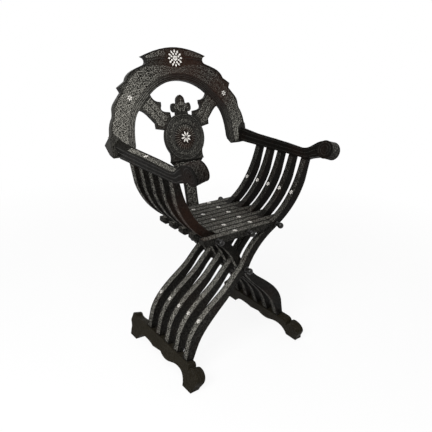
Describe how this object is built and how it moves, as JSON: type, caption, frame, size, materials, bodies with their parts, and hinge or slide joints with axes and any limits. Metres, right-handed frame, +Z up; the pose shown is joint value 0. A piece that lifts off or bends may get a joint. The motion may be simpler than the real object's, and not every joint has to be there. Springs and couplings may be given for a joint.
{
  "type": "savonarola chair",
  "caption": "Folding X-frame armchair of carved dark wood: S-curved ribs cross on a rod, slats form the seat, scrolled arms, and an arched lift-out back.",
  "frame": {"origin": "on the floor, under the middle of the chair's bounding box", "axes": "+Z up; -Y towards the front of the seat; +X to the right of the picture's viewer facing the seat"},
  "size_m": [0.5868, 0.5649, 1.0318],
  "materials": {
    "carved_wood": "ebonised walnut with low carving, satin, rubbed to a dusty grey-brown on the high spots",
    "seat_wood": "ebonised wood worn to grey-brown on top",
    "foot_wood": "plain ebonised wood, satin",
    "turned_wood": "turned and polished dark wood",
    "inlay": "bone and mother-of-pearl inlay, polished"
  },
  "bodies": {
    "fixed_frame": {"rib_a1": "carved_wood", "rib_a2": "carved_wood", "rib_a3": "carved_wood", "rib_a4": "carved_wood", "rib_a5": "carved_wood", "left_foot": "foot_wood", "right_arm": "carved_wood", "pivot_rod": "turned_wood", "right_seat_rod": "turned_wood", "fixed_rod_finials": "turned_wood", "fixed_rib_stars": "inlay"},
    "folding_frame": {"rib_b1": "carved_wood", "rib_b2": "carved_wood", "rib_b3": "carved_wood", "rib_b4": "carved_wood", "rib_b5": "carved_wood", "right_foot": "foot_wood", "left_arm": "carved_wood", "left_seat_rod": "turned_wood", "left_rod_finials": "turned_wood", "folding_rib_stars": "inlay"},
    "left_slats": {"left_slat1": "seat_wood", "left_slat2": "seat_wood", "left_slat3": "seat_wood", "left_slat4": "seat_wood", "left_slat5": "seat_wood", "left_middle_pins": "turned_wood", "left_slat_stars": "inlay"},
    "right_slats": {"right_slat1": "seat_wood", "right_slat2": "seat_wood", "right_slat3": "seat_wood", "right_slat4": "seat_wood", "right_slat5": "seat_wood", "right_middle_pins": "turned_wood", "right_slat_stars": "inlay"},
    "back": {"crest_board": "carved_wood", "left_stile": "carved_wood", "right_stile": "carved_wood", "left_bracket": "carved_wood", "right_bracket": "carved_wood", "medallion_board": "carved_wood", "lower_splat": "carved_wood", "back_finial": "carved_wood", "left_cheek": "carved_wood", "right_cheek": "carved_wood", "left_tongue": "carved_wood", "right_tongue": "carved_wood", "back_inlays": "inlay"}
  },
  "joints": [
    {"name": "main_fold", "type": "hinge", "parent": "fixed_frame", "child": "folding_frame", "pos_m": [0, -0.0355, 0.348], "axis": [0, 1, 0], "range_deg": [0, 45]},
    {"name": "right_slat_fold", "type": "hinge", "parent": "fixed_frame", "child": "right_slats", "pos_m": [0.1278, -0.0355, 0.483], "axis": [0, 1, 0], "range_deg": [0, 82]},
    {"name": "left_slat_fold", "type": "hinge", "parent": "folding_frame", "child": "left_slats", "pos_m": [-0.1278, -0.0355, 0.483], "axis": [0, 1, 0], "range_deg": [-82, 0]},
    {"name": "back_lift", "type": "slide", "parent": "fixed_frame", "child": "back", "axis": [0, 0.2485, 0.9686], "range_m": [0, 0.06]}
  ],
  "couplings": [
    {"joint": "right_slat_fold", "follows": "main_fold", "ratio": 1.805},
    {"joint": "left_slat_fold", "follows": "main_fold", "ratio": -1.805}
  ]
}
